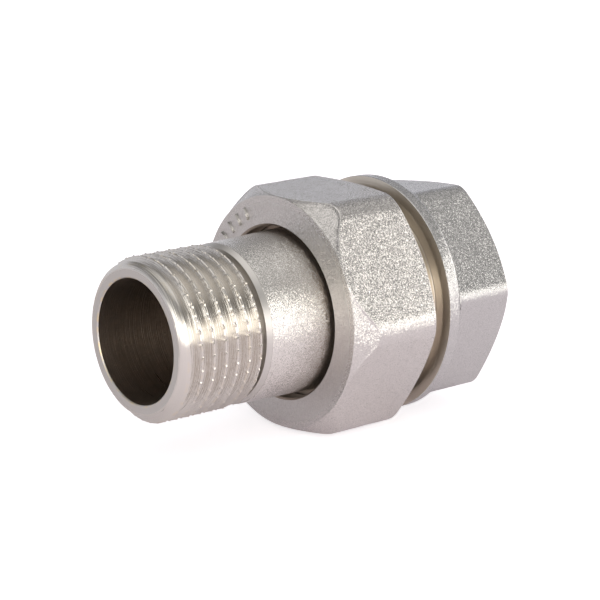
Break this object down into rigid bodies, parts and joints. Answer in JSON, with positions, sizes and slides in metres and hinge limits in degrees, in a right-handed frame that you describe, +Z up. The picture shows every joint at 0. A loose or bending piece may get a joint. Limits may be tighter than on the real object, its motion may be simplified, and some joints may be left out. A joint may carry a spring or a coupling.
{
  "type": "pipe union",
  "caption": "Straight pipe union, flat seal: male threaded tailpiece and female threaded body drawn together by a hexagon union nut.",
  "frame": {"origin": "on the pipe axis, at the centre of the bounding box, midway between the two end faces", "axes": "+X along the pipe axis towards the female end, +Z up through one of the nut's flats"},
  "size_m": [0.0508, 0.0342, 0.0316],
  "materials": {
    "female_body": "nickel-plated: blasted forging, turned threads and end faces",
    "flat_seal": "matt moulded sealing ring",
    "union_nut": "nickel-plated: blasted forging, turned hole and thread",
    "tailpiece": "nickel-plated: blasted shank, turned thread, bore and end face"
  },
  "bodies": {
    "female_body": {"female_body": "female_body"},
    "flat_seal": {"flat_seal": "flat_seal"},
    "union_nut": {"union_nut": "union_nut"},
    "tailpiece": {"tailpiece": "tailpiece"}
  },
  "joints": [
    {"name": "union_open", "type": "slide", "parent": "female_body", "child": "flat_seal", "axis": [-1, 0, 0], "range_m": [0, 0.00635]},
    {"name": "nut_turn", "type": "hinge", "parent": "flat_seal", "child": "union_nut", "pos_m": [0, 0, 0], "axis": [-1, 0, 0], "range_deg": [0, 1260]},
    {"name": "tail_swivel", "type": "hinge", "parent": "flat_seal", "child": "tailpiece", "pos_m": [0, 0, 0], "axis": [-1, 0, 0], "continuous": true}
  ],
  "couplings": [
    {"joint": "union_open", "follows": "nut_turn", "m_per_rad": 0.00028871}
  ]
}
